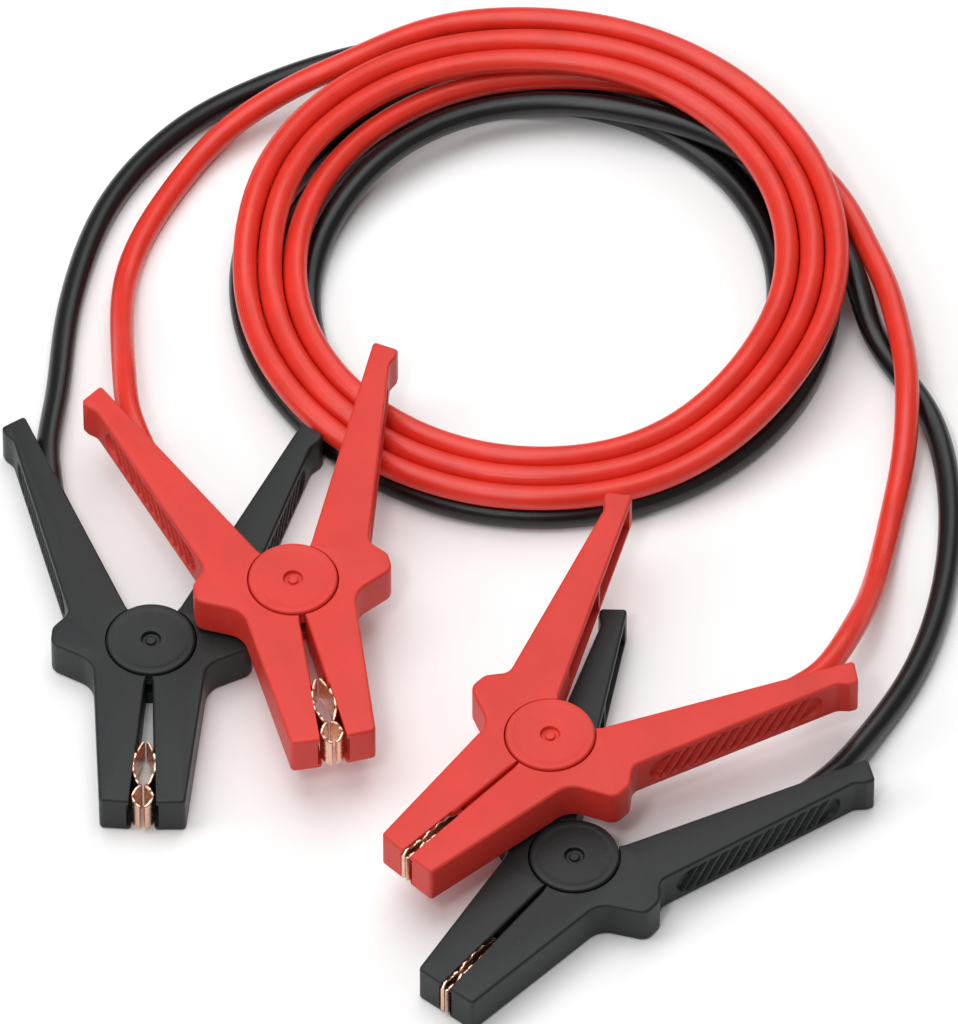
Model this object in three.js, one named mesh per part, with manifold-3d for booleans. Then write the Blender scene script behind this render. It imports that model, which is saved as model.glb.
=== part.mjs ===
// Jumper lead set: a red and a black booster cable, each with two fully insulated clamps,
// wound together in one loose coil on the floor.
// Millimetres, +Z up. The floor is Z = 0, and the origin lies under the middle of the four clamps.

import * as THREE from 'three';
import { mergeVertices } from 'three/addons/utils/BufferGeometryUtils.js';
import Module from 'manifold-3d';

const wasm = await Module();
wasm.setup();

// Driving dimensions

const gap = 0.3; // clearance between pieces that touch
const wall = 2.5; // plastic wall of a clamp half
const thickness = 17; // clamp half, from its underside to its top
const squeezeLimit = 35; // degrees that a squeezed handle turns

const cable = {
  diameter: 9,
  sides: 8,
  tailSteps: 20, // on each of the four
};

const jaw = {
  length: 74.5,
  tipWidth: 11.3,
  rootWidth: 18.9,
  slit: 1.0,
  tipGap: 2.4,
  cornerRadius: 1.6,
  pocketDepth: 1.6,
  pocketMargin: 1.5, // behind the contact
};

const handle = {
  length: 115.3,
  angle: 27.5, // degrees between its inner edge and the clamp's middle line
  offset: 2.3, // from the pivot to the inner edge
  rootWidth: 19.7,
  tipWidth: 8.3,
  hook: 1.6,
  hookLength: 5,
  cornerRadius: 1.4,
};

const shoulder = {
  reach: 36.4,
  top: 3.6,
  bottom: -3.9,
  armpit: 11.2, // from the pivot to the corner between jaw and shoulder
  outerRadius: 4.6,
  armpitRadius: 9,
  handleRadius: 5,
};

const hub = {
  capRadius: 16,
  capGroove: 0.7,
  capRise: 1,
  capThickness: 2.2,
  earThickness: 1.6,
  pinRadius: 3,
  dimpleRadius: 3.4,
  dimpleDepth: 1.3,
  buttonRadius: 2.2,
  edgeRadius: 1,
};

const spring = {
  wire: 1.6,
  coilRadius: 8.5,
  legLength: 24,
  turns: 1, // whole turns beside the part turn between the two handles
};

const grip = {
  start: 31,
  end: 100,
  depth: 1.2,
  margin: 3.4, // from the slot to the clamp's top and underside
  ribWidth: 1.9,
  ribPitch: 5.6,
  ribHeight: 0.9,
  ribLean: 30, // degrees from upright, towards the tip at the top
};

const contact = {
  thickness: 1.2,
  length: 29.5,
  overhang: 0.8, // past the front of the jaw
  points: 16,
};

// The coils lie as two rings, the red one on the black one. Each has three turns side by side.
// The red ring is lifted by a cable's thickness where the leads' last turns pass out under it.
const coil = {
  turns: 3,
  liftFrom: -65, // degrees from +X, where the lift starts
  liftedFrom: -22,
  liftedTo: 157,
  liftTo: 192,
  segments: 36,
  lobePoints: 3,
};
const coils = {
  black: { centre: [39, 193.95], innerRadius: 88, pitch: 9.3, level: 0 },
  red: { centre: [39, 197.95], innerRadius: 91, pitch: 9.3, level: 1 },
};

// Where each clamp lies: its pivot on the floor plan, its turn in degrees from jaws towards -Y,
// the extra degrees that each half stands open, and which handle the cable runs into.
const clamps = [
  { name: 'black_left', colour: 'black', pivot: [-103.1, 19.95], turn: -1.8, open: 2.4, cableSide: -1, level: 0 },
  { name: 'red_left', colour: 'red', pivot: [-51.4, 33.25], turn: 11.8, open: 2.4, cableSide: -1, level: 1 },
  { name: 'black_right', colour: 'black', pivot: [50.5, -79.15], turn: -38.5, open: 0, cableSide: 1, level: 0 },
  { name: 'red_right', colour: 'red', pivot: [41.8, -38.45], turn: -44, open: 0, cableSide: 1, level: 1 },
];

// Heights that stack the pieces

const coilTop = 2 * cable.diameter + 1.5 * gap; // top of the upper ring
const upperClampLevel = Math.max(coilTop, thickness + hub.capRise) + gap;
const clampLevel = (level) => level * upperClampLevel;
const cableMiddle = thickness / 2;
const onFloor = (cable.diameter + gap) / 2;
const onCable = onFloor + cable.diameter + gap;

// The free stretches of the cables, from the clamp to the coil, chosen by hand on the floor plan.
// The first points of each tail lie inside the clamp and are worked out from it.
const tails = {
  red_left: [
    [-114.4, 142, 22.2], [-115.6, 167.4, 13.5], [-114.6, 198.4, 6], [-108.4, 221, onFloor],
    [-100.8, 237, onFloor], [-89.4, 255.8, 5.4], [-76, 270.2, 8.8], [-59, 281.2, 13.4], [-46, 287.4, 16.5],
    [-34, 292, 21.3],
  ],
  red_right: [
    [151.2, 19, 22.6], [158.6, 43, 13], [163.6, 67, 6], [168, 90, 5], [172, 112, 8.6], [173.6, 132, 12.8],
    [173.4, 150, onCable], [171.3, 167, onCable], [167, 188, onCable], [160, 208, onCable],
    [150.3, 230.7, onCable], [140, 245, onCable],
  ],
  black_left: [
    [-136.9, 145, 5.5], [-134.3, 175.3, onFloor], [-127, 203.5, onFloor], [-118.7, 227.8, onFloor],
    [-107.8, 248, onFloor], [-94.2, 267.1, onFloor], [-78.6, 282, onFloor], [-51, 299, onFloor],
    [-26, 308.5, onFloor], [0, 313.5, onFloor], [27.3, 313.4, onFloor], [52, 310, onFloor], [69, 306, onFloor],
  ],
  black_right: [
    [159.5, -12, 5.2], [171.4, 8.7, onFloor], [180.6, 32, onFloor], [186.8, 59.9, onFloor],
    [189, 88, onFloor], [187, 114.8, onFloor], [181, 137, onFloor], [173, 152, onFloor],
    [166.5, 163.5, 5.1], [161.5, 173.5, 7.2], [158, 184, 11.2],
    [152.7, 201.5, onCable], [147, 214, onCable],
  ],
};

// Materials

const materials = {
  redPlastic: () => new THREE.MeshStandardMaterial({ color: 0xe8483f, roughness: 0.5, metalness: 0 }),
  blackPlastic: () => new THREE.MeshStandardMaterial({ color: 0x3c4040, roughness: 0.55, metalness: 0 }),
  redCable: () => new THREE.MeshStandardMaterial({ color: 0xe33a2c, roughness: 0.4, metalness: 0 }),
  blackCable: () => new THREE.MeshStandardMaterial({ color: 0x17191b, roughness: 0.4, metalness: 0 }),
  copper: () => new THREE.MeshStandardMaterial({ color: 0xd9916c, roughness: 0.35, metalness: 1 }),
  steel: () => new THREE.MeshStandardMaterial({ color: 0x9a9c9e, roughness: 0.35, metalness: 1 }),
};

// Solids and their joins and cuts

const radians = THREE.MathUtils.degToRad;

function toSolid(geometry) {
  const plain = geometry.clone();
  plain.deleteAttribute('normal');
  plain.deleteAttribute('uv');
  const merged = mergeVertices(plain, 1e-4);
  return new wasm.Manifold(new wasm.Mesh({
    numProp: 3,
    vertProperties: new Float32Array(merged.attributes.position.array),
    triVerts: new Uint32Array(merged.index.array),
  }));
}

function toGeometry(solid) {
  const mesh = solid.getMesh();
  const geometry = new THREE.BufferGeometry();
  geometry.setAttribute('position', new THREE.BufferAttribute(new Float32Array(mesh.vertProperties), 3));
  geometry.setIndex(new THREE.BufferAttribute(new Uint32Array(mesh.triVerts), 1));
  geometry.computeVertexNormals();
  return geometry;
}

// The same shape on the other side of the clamp's middle line, with its faces still pointing out.
function mirrored(geometry) {
  const flipped = geometry.clone();
  flipped.scale(-1, 1, 1);
  const index = flipped.index.array;
  for (let i = 0; i < index.length; i += 3) {
    const second = index[i + 1];
    index[i + 1] = index[i + 2];
    index[i + 2] = second;
  }
  flipped.computeVertexNormals();
  return flipped;
}

function prism(points, bottom, top) {
  const shape = new THREE.Shape(points.map(([x, y]) => new THREE.Vector2(x, y)));
  const geometry = new THREE.ExtrudeGeometry(shape, { depth: top - bottom, bevelEnabled: false });
  geometry.translate(0, 0, bottom);
  return toSolid(geometry);
}

function disc(radius, bottom, top, segments = 24) {
  const geometry = new THREE.CylinderGeometry(radius, radius, top - bottom, segments);
  geometry.rotateX(Math.PI / 2);
  geometry.translate(0, 0, (bottom + top) / 2);
  return toSolid(geometry);
}

// An outline of straight runs whose corners are rounded by arcs: each corner is x, y, radius.
function roundedOutline(corners, arcSteps = 4) {
  const points = [];
  corners.forEach(([x, y, radius], i) => {
    const corner = new THREE.Vector2(x, y);
    if (!radius) {
      points.push([x, y]);
      return;
    }
    const [beforeX, beforeY] = corners[(i + corners.length - 1) % corners.length];
    const [afterX, afterY] = corners[(i + 1) % corners.length];
    const before = new THREE.Vector2(beforeX, beforeY).sub(corner);
    const after = new THREE.Vector2(afterX, afterY).sub(corner);
    const reachLimit = 0.48 * Math.min(before.length(), after.length());
    before.normalize();
    after.normalize();
    const halfAngle = Math.acos(THREE.MathUtils.clamp(before.dot(after), -1, 1)) / 2;
    const reach = Math.min(radius / Math.tan(halfAngle), reachLimit);
    const arcRadius = reach * Math.tan(halfAngle);
    const centre = before.clone().add(after).normalize().multiplyScalar(arcRadius / Math.sin(halfAngle));
    centre.add(corner);
    const from = corner.clone().addScaledVector(before, reach).sub(centre);
    const to = corner.clone().addScaledVector(after, reach).sub(centre);
    const sweep = Math.atan2(from.cross(to), from.dot(to));
    for (let step = 0; step <= arcSteps; step += 1) {
      const turned = from.clone().rotateAround(new THREE.Vector2(), (sweep * step) / arcSteps);
      points.push([centre.x + turned.x, centre.y + turned.y]);
    }
  });
  return points;
}

// Places on the handle of the right-hand half: along its inner edge from the pivot, and across
// from that edge towards the outside.
const handleDirection = [Math.sin(radians(handle.angle)), Math.cos(radians(handle.angle))];
function onHandle(along, across) {
  const [sin, cos] = handleDirection;
  const out = across + handle.offset;
  return [along * sin + out * cos, along * cos - out * sin];
}

const handleRoot = 27; // where the straight taper of the handle starts
const taperEnd = handle.length - 2 * handle.hookLength + 1;
const taper = (handle.rootWidth - handle.tipWidth) / (taperEnd - handleRoot);
const handleWidth = (along) => handle.rootWidth - taper * (along - handleRoot);

// Levels of the hinge, from the underside up: base cap, cable half's ear, squeeze half's ear,
// spring, squeeze half's ear, cable half's ear, top cap.
const lowerCapTop = hub.capThickness;
const lowerOuterEar = [lowerCapTop + gap, lowerCapTop + gap + hub.earThickness];
const lowerInnerEar = [lowerOuterEar[1] + gap, lowerOuterEar[1] + gap + hub.earThickness];
const upperOuterEar = [thickness - lowerOuterEar[1], thickness - lowerOuterEar[0]];
const upperInnerEar = [thickness - lowerInnerEar[1], thickness - lowerInnerEar[0]];
const springRoom = [lowerInnerEar[1], upperInnerEar[0]];
const recessRadius = hub.capRadius + hub.capGroove;
const earRadius = hub.capRadius + 0.5 * hub.capGroove - gap / 2;

function halfOutline() {
  const jawRootY = -recessRadius;
  const jawSide = (y) => {
    const share = (y - jawRootY) / (-jaw.length - jawRootY);
    return THREE.MathUtils.lerp(jaw.rootWidth + jaw.slit / 2, jaw.tipWidth + jaw.tipGap / 2, share);
  };
  const outerEdge = (along, extra, radius) => [...onHandle(along, handleWidth(along) + extra), radius];
  const armpit = [jawSide(-shoulder.armpit) + 0.2, -shoulder.armpit, shoulder.armpitRadius];
  return roundedOutline([
    [jaw.slit / 2, jawRootY, 0],
    [jaw.tipGap / 2, -jaw.length, jaw.cornerRadius / 2],
    [jawSide(-jaw.length), -jaw.length, jaw.cornerRadius],
    armpit,
    [shoulder.reach, shoulder.bottom, shoulder.outerRadius],
    [shoulder.reach, shoulder.top, shoulder.outerRadius],
    outerEdge(handleRoot - 3.2, 0, shoulder.handleRadius),
    outerEdge(taperEnd, 0, shoulder.handleRadius),
    [...onHandle(handle.length - handle.hookLength, handle.tipWidth + handle.hook, handle.cornerRadius)],
    [...onHandle(handle.length - handle.hook, handle.tipWidth + handle.hook, handle.cornerRadius)],
    [...onHandle(handle.length, 0), handle.cornerRadius / 2],
    [...onHandle(0, 0), 0],
  ]);
}

function handlePocket(outline, bottom, top) {
  return prism(outline.map(([along, across]) => onHandle(along, across)), bottom, top);
}

// The recessed grip on the outer side face: a slot with round ends, and ribs across its floor.
function gripPlane() {
  const face = new THREE.Group();
  const [x, y] = onHandle(grip.start, handleWidth(grip.start));
  face.position.set(x, y, thickness / 2);
  const [endX, endY] = onHandle(grip.end, handleWidth(grip.end));
  const along = new THREE.Vector3(endX - x, endY - y, 0).normalize();
  const up = new THREE.Vector3(0, 0, 1);
  const inwards = new THREE.Vector3().crossVectors(along, up).negate();
  face.quaternion.setFromRotationMatrix(new THREE.Matrix4().makeBasis(along, inwards.clone().cross(along), inwards));
  face.updateMatrixWorld();
  return { matrix: face.matrixWorld, length: Math.hypot(endX - x, endY - y) };
}

function gripSlot(from, to) {
  const { matrix, length } = gripPlane();
  const half = thickness / 2 - grip.margin;
  const outline = roundedOutline([
    [0, -half, half * 0.98], [length, -half, half * 0.98], [length, half, half * 0.98], [0, half, half * 0.98],
  ], 3);
  const shape = new THREE.Shape(outline.map(([x, y]) => new THREE.Vector2(x, y)));
  const geometry = new THREE.ExtrudeGeometry(shape, { depth: to - from, bevelEnabled: false });
  geometry.translate(0, 0, from);
  geometry.applyMatrix4(matrix);
  return toSolid(geometry);
}

function gripRibs() {
  const { matrix, length } = gripPlane();
  const lean = (Math.tan(radians(grip.ribLean)) * thickness) / 2;
  const roundEnd = thickness / 2 - grip.margin;
  const room = length - 2 * (roundEnd * 0.6 + lean);
  const count = Math.floor(room / grip.ribPitch) + 1;
  const first = (length - (count - 1) * grip.ribPitch) / 2;
  let ribs = null;
  for (let i = 0; i < count; i += 1) {
    const middle = first + i * grip.ribPitch;
    const rib = [
      [middle - lean - grip.ribWidth / 2, -thickness / 2],
      [middle - lean + grip.ribWidth / 2, -thickness / 2],
      [middle + lean + grip.ribWidth / 2, thickness / 2],
      [middle + lean - grip.ribWidth / 2, thickness / 2],
    ];
    const shape = new THREE.Shape(rib.map(([x, y]) => new THREE.Vector2(x, y)));
    const geometry = new THREE.ExtrudeGeometry(shape, { depth: wall, bevelEnabled: false });
    geometry.translate(0, 0, grip.depth - grip.ribHeight);
    geometry.applyMatrix4(matrix);
    const solid = toSolid(geometry);
    ribs = ribs ? ribs.add(solid) : solid;
  }
  return ribs;
}

// One half of a clamp, as the right-hand one, closed, with its pivot at the origin.
function clampHalf(holdsCable) {
  const outline = halfOutline();
  const [ownLower, otherLower] = holdsCable ? [lowerOuterEar, lowerInnerEar] : [lowerInnerEar, lowerOuterEar];
  const [ownUpper, otherUpper] = holdsCable ? [upperOuterEar, upperInnerEar] : [upperInnerEar, upperOuterEar];
  let solid = prism(outline, 0, thickness);

  // Room under and over the ears for the caps, the other half's ears and the spring.
  const clear = (bottom, top) => {
    solid = solid.subtract(disc(recessRadius, bottom, top));
  };
  clear(-1, ownLower[0]);
  clear(ownLower[1], ownUpper[0]);
  clear(ownUpper[1], thickness + 1);
  if (Math.min(otherLower[0], otherUpper[0]) < 0) throw new Error('The ears reach below the clamp');
  for (const [bottom, top] of [ownLower, ownUpper]) {
    solid = solid.add(disc(earRadius, bottom, top));
  }
  solid = solid.subtract(disc(hub.pinRadius + gap, -1, thickness + 1, 16));

  // A slot for the spring's leg, just outside the hub.
  const legAcross = spring.coilRadius - handle.offset;
  const legHalf = spring.wire / 2 + 2 * gap;
  const legEnd = spring.legLength + gap;
  solid = solid.subtract(handlePocket([
    [recessRadius / 2, legAcross - legHalf], [legEnd, legAcross - legHalf],
    [legEnd, legAcross + legHalf], [recessRadius / 2, legAcross + legHalf],
  ], springRoom[0], springRoom[1]));

  // The hollow handle, open along its inner edge.
  const open = -handle.offset - 1;
  const tipInside = handle.length - 2 * wall;
  const deep = (along) => handleWidth(along) - wall - grip.depth;
  const seat = cableSeat;
  if (holdsCable) {
    const trough = cable.diameter + 4 * gap;
    const mouth = cableMouth + cable.diameter + 2.4 * wall;
    const outerSide = cableAcross + trough / 2;
    const cableRun = [
      [seat - gap, open], [mouth, open], [mouth - 1, 0.8], [cableMouth, trough / 2 + 1],
      [cableMouth - cable.diameter, Math.min(outerSide - 1.2, deep(cableMouth - cable.diameter))],
      [cableMouth - 2.4 * cable.diameter, outerSide], [seat - gap, outerSide],
    ];
    solid = solid.subtract(handlePocket(cableRun, thickness / 2 - trough / 2, thickness / 2 + trough / 2));
    const bays = [[seat + wall, seat + 24], [seat + 24 + wall, mouth]];
    for (const [start, end] of bays) {
      const inside = Math.min(end, cableMouth - cable.diameter);
      solid = solid.subtract(handlePocket([
        [start, open], [end, open], [end - 1, 0.5], [inside, Math.min(outerSide, deep(inside))],
        [start, Math.min(outerSide + 1, deep(start))],
      ], wall, thickness - wall));
    }
  } else {
    const web = (seat + tipInside) / 2;
    for (const [start, end] of [[seat, web - wall / 2], [web + wall / 2, tipInside]]) {
      solid = solid.subtract(handlePocket([
        [start, open], [end, open], [end, deep(end)], [start, deep(start)],
      ], wall, thickness - wall));
    }
    // The end wall stops short of the inner edge.
    solid = solid.subtract(handlePocket([
      [tipInside - 1, open], [handle.length + 2, open], [handle.length + 2, wall], [tipInside - 1, wall],
    ], wall, thickness - wall));
  }

  // A pocket in the jaw's inner face for the contact, open at the front.
  const pocketBack = -jaw.length + contact.length + jaw.pocketMargin;
  const jawFace = (y) => THREE.MathUtils.mapLinear(y, -recessRadius, -jaw.length, jaw.slit / 2, jaw.tipGap / 2);
  solid = solid.subtract(prism([
    [-2, pocketBack], [-2, -jaw.length - 2], [jawFace(-jaw.length) + jaw.pocketDepth, -jaw.length - 2],
    [jawFace(pocketBack) + jaw.pocketDepth, pocketBack],
  ], wall - gap, thickness - wall + gap));

  solid = solid.subtract(gripSlot(-3, grip.depth));
  solid = solid.add(gripRibs().intersect(gripSlot(grip.depth - grip.ribHeight, grip.depth + 0.4)));
  return toGeometry(solid);
}

// Where the cable lies in its half's handle: it leaves the inner edge at the mouth.
const cableSeat = 33;
const cableAcross = cable.diameter / 2 + 0.5;
const cableMouth = 91;
const cableRunInside = [
  [cableSeat, cableAcross], [52, cableAcross], [68, 4.8], [80, 3.1], [cableMouth, 0], [cableMouth + 13, -5],
];

// The round cap on top, with the pin in one piece. Its dimple has a button in the middle.
function pivotCap() {
  const top = thickness + hub.capRise;
  const bottom = thickness - hub.capThickness;
  const pinEnd = lowerCapTop / 2 + gap;
  const edge = [];
  for (let step = 0; step <= 3; step += 1) {
    const angle = (Math.PI / 2) * (step / 3);
    edge.push([
      hub.capRadius - hub.edgeRadius + hub.edgeRadius * Math.cos(angle),
      top - hub.edgeRadius + hub.edgeRadius * Math.sin(angle),
    ]);
  }
  const profile = [
    [0, pinEnd], [hub.pinRadius, pinEnd], [hub.pinRadius, bottom], [hub.capRadius, bottom], ...edge,
    [hub.dimpleRadius + 0.5, top], [hub.dimpleRadius, top - 0.4], [hub.dimpleRadius, top - hub.dimpleDepth],
    [hub.buttonRadius, top - hub.dimpleDepth], [hub.buttonRadius, top - 0.6], [hub.buttonRadius - 0.5, top - 0.3],
    [0, top - 0.3],
  ];
  return turned(profile, 24);
}

function pivotBase() {
  const socket = lowerCapTop / 2;
  return turned([
    [0, 0], [hub.capRadius - hub.edgeRadius / 2, 0], [hub.capRadius, hub.edgeRadius / 2],
    [hub.capRadius, lowerCapTop], [hub.pinRadius + gap, lowerCapTop], [hub.pinRadius + gap, socket], [0, socket],
  ], 24);
}

// A turned solid about Z, from a profile of radius and height that runs up its outside.
function turned(profile, segments) {
  const geometry = new THREE.LatheGeometry(profile.map(([r, z]) => new THREE.Vector2(r, z)), segments);
  geometry.rotateX(Math.PI / 2);
  return toGeometry(toSolid(geometry));
}

// A contact: a copper strip on edge, bowed out to the pocket's floor twice and in to the middle
// line between, so that the pair leaves a long eye and a short one.
function contactStrip(open) {
  const back = -jaw.length + contact.length;
  const front = -jaw.length - contact.overhang;
  const floorAt = (y) => {
    const closed = THREE.MathUtils.mapLinear(y, -recessRadius, -jaw.length, jaw.slit / 2, jaw.tipGap / 2);
    return closed + jaw.pocketDepth - y * Math.sin(radians(open));
  };
  const bow = (share) => {
    const longEye = 0.7;
    return share < longEye
      ? Math.sin((Math.PI * share) / longEye) ** 0.8
      : 0.75 * Math.sin((Math.PI * (share - longEye)) / (1 - longEye)) ** 0.8;
  };
  const middle = [];
  for (let i = 0; i < contact.points; i += 1) {
    const share = i / (contact.points - 1);
    const y = THREE.MathUtils.lerp(back, front, share);
    const inner = gap / 2 + contact.thickness / 2;
    const outer = floorAt(y) - gap - contact.thickness / 2;
    middle.push(new THREE.Vector2(THREE.MathUtils.lerp(inner, outer, bow(share)), y));
  }
  const side = (offset) => middle.map((point, i) => {
    const along = middle[Math.min(i + 1, middle.length - 1)].clone().sub(middle[Math.max(i - 1, 0)]).normalize();
    return [Math.max(point.x + along.y * offset, gap / 2), point.y - along.x * offset];
  });
  const outline = [...side(contact.thickness / 2), ...side(-contact.thickness / 2).reverse()];
  return toGeometry(prism(outline, wall, thickness - wall));
}

// A tube that follows a curve, from a round section.
function tube(points, diameter, sides, steps) {
  const curve = new THREE.CatmullRomCurve3(points.map((p) => new THREE.Vector3(...p)), false, 'centripetal');
  const section = new THREE.Shape();
  section.absarc(0, 0, diameter / 2, 0, 2 * Math.PI, false);
  const geometry = new THREE.ExtrudeGeometry(section, {
    steps,
    curveSegments: sides / 2,
    bevelEnabled: false,
    extrudePath: curve,
  });
  return toGeometry(toSolid(geometry));
}

// The spring's wire: in along the cable half's handle, round the pin, out along the other handle.
function springWire(open) {
  const low = springRoom[0] + gap + spring.wire / 2;
  const high = springRoom[1] - gap - spring.wire / 2;
  const spread = radians(handle.angle - open);
  const start = -spread;
  const total = 2 * Math.PI * spring.turns + Math.PI - 2 * spread;
  const points = [];
  const leg = (angle, sense, height) => {
    const r = spring.coilRadius;
    return (out) => [
      r * Math.cos(angle) - sense * out * Math.sin(angle), r * Math.sin(angle) + sense * out * Math.cos(angle), height,
    ];
  };
  const cableLeg = leg(start, 1, low);
  for (const out of [spring.legLength, spring.legLength / 2, 3]) points.push(cableLeg(out));
  const coilSteps = 16;
  for (let step = 0; step <= coilSteps; step += 1) {
    const share = step / coilSteps;
    const angle = start - total * share;
    points.push([
      spring.coilRadius * Math.cos(angle), spring.coilRadius * Math.sin(angle), THREE.MathUtils.lerp(low, high, share),
    ]);
  }
  const squeezeLeg = leg(start - total, -1, high);
  for (const out of [3, spring.legLength / 2, spring.legLength]) points.push(squeezeLeg(out));
  return tube(points, spring.wire, 6, 30);
}

// How far the red coil is lifted at an angle round it, from nothing to one cable and its gap.
function coilLift(degrees) {
  const round = THREE.MathUtils.euclideanModulo(degrees + 90, 360) - 90;
  const rise = THREE.MathUtils.smoothstep(round, coil.liftFrom, coil.liftedFrom);
  const fall = 1 - THREE.MathUtils.smoothstep(round, coil.liftedTo, coil.liftTo);
  return (cable.diameter + gap) * Math.min(rise, fall);
}

// A loose coil as one turned ring, whose section shows each turn.
function coilRing({ innerRadius, pitch, level }) {
  const r = cable.diameter / 2;
  const upper = [];
  const lower = [];
  for (let turn = 0; turn < coil.turns; turn += 1) {
    const middle = innerRadius + turn * pitch;
    const reach = Math.min(r, pitch / 2);
    const from = turn === 0 ? -r : -reach;
    const to = turn === coil.turns - 1 ? r : reach;
    for (let step = 0; step <= coil.lobePoints; step += 1) {
      const across = THREE.MathUtils.lerp(from, to, step / coil.lobePoints);
      const height = Math.max(Math.sqrt(Math.max(r * r - across * across, 0)), 0.35 * r);
      upper.push([middle + across, r + height]);
      lower.push([middle + across, r - height]);
    }
  }
  const keep = (list) => list.filter(([x], i) => i === 0 || x - list[i - 1][0] > 0.01);
  const section = [...keep(lower), ...keep(upper).reverse()];
  const ring = turned([...section, section[0]], coil.segments);
  const position = ring.attributes.position;
  for (let i = 0; level > 0 && i < position.count; i += 1) {
    const angle = THREE.MathUtils.radToDeg(Math.atan2(position.getY(i), position.getX(i)));
    position.setZ(i, position.getZ(i) + coilLift(angle));
  }
  ring.computeVertexNormals();
  return ring;
}

// The model

const model = new THREE.Group();
const halves = { cable: clampHalf(true), squeeze: clampHalf(false) };

function addMesh(group, name, geometry, material) {
  const mesh = new THREE.Mesh(geometry, material);
  mesh.name = name;
  group.add(mesh);
  return mesh;
}

function addClamp({ name, colour, pivot, turn, open, cableSide, level }) {
  const group = new THREE.Group();
  group.position.set(pivot[0], pivot[1], clampLevel(level));
  group.rotation.z = radians(turn);
  model.add(group);
  const plastic = colour === 'red' ? materials.redPlastic : materials.blackPlastic;
  const onSide = (geometry, side) => (side > 0 ? geometry : mirrored(geometry));
  const cableHalf = addMesh(group, `${name}_cable_half`, onSide(halves.cable, cableSide), plastic());
  cableHalf.rotation.z = cableSide * radians(open);
  const squeezeHalf = addMesh(group, `${name}_squeeze_half`, onSide(halves.squeeze, -cableSide), plastic());
  squeezeHalf.rotation.z = -cableSide * radians(open);
  addMesh(group, `${name}_pivot_cap`, pivotCap(), plastic());
  addMesh(group, `${name}_pivot_base`, pivotBase(), plastic());
  addMesh(group, `${name}_cable_contact`, onSide(contactStrip(open), cableSide), materials.copper());
  addMesh(group, `${name}_squeeze_contact`, onSide(contactStrip(open), -cableSide), materials.copper());
  addMesh(group, `${name}_spring`, onSide(springWire(open), cableSide), materials.steel());
}

function addTail({ name, colour, pivot, turn, open, cableSide, level }) {
  const turned3 = (point, angle) => new THREE.Vector3(...point).applyAxisAngle(new THREE.Vector3(0, 0, 1), angle);
  const inside = cableRunInside.map(([along, across]) => {
    const [x, y] = onHandle(along, across);
    const local = turned3([x, y, 0], radians(open));
    const world = turned3([cableSide * local.x, local.y, 0], radians(turn));
    return [world.x + pivot[0], world.y + pivot[1], clampLevel(level) + cableMiddle];
  });
  const material = colour === 'red' ? materials.redCable() : materials.blackCable();
  const points = [...inside, ...tails[name]];
  const side = name.split('_')[1];
  addMesh(model, `${colour}_cable_tail_${side}`, tube(points, cable.diameter, cable.sides, cable.tailSteps), material);
}

clamps.forEach(addClamp);
clamps.forEach(addTail);

for (const [colour, ring] of Object.entries(coils)) {
  const material = colour === 'red' ? materials.redCable() : materials.blackCable();
  const mesh = addMesh(model, `${colour}_cable_coil`, coilRing(ring), material);
  mesh.position.set(ring.centre[0], ring.centre[1], gap / 2 + ring.level * (cable.diameter + gap));
}

export default model;
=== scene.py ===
"""Red and black booster leads, wound together in one loose coil, with four insulated clamps.

Lengths in this file are millimetres until a mesh is made, and heights are above the floor.
"""
import math
from collections import namedtuple

import bpy
import numpy as np
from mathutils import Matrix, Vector


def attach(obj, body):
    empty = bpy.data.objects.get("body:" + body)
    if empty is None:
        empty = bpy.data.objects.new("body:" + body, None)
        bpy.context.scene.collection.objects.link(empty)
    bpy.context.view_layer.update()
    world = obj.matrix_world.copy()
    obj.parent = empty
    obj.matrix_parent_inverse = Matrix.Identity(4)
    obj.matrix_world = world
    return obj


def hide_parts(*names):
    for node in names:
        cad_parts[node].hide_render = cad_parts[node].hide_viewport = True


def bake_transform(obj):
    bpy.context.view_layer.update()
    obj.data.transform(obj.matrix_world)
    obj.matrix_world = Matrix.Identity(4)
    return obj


bl_info = {
    "name": "Jumper leads",
    "version": (1, 0, 0),
    "blender": (4, 5, 0),
    "location": "3D View > Sidebar > Jumper leads",
    "description": "Builds a set of booster leads with insulated clamps over its packed CAD model",
    "category": "Add Mesh",
}

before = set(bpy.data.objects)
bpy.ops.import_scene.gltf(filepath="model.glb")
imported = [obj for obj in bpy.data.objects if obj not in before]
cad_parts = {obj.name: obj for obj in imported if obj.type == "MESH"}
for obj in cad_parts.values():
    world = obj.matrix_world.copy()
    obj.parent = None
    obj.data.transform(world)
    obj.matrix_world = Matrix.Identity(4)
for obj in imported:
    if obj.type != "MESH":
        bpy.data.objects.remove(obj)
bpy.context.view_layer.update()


def linear(hex_colour):
    """Turns an sRGB hex colour into the linear RGBA that the shaders take."""
    value = np.array([int(hex_colour[i:i + 2], 16) for i in (0, 2, 4)]) / 255
    low = value / 12.92
    high = ((value + 0.055) / 1.055) ** 2.4
    return (*np.where(value <= 0.04045, low, high).tolist(), 1.0)


# Clamp and cable sizes that the pieces share

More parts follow.
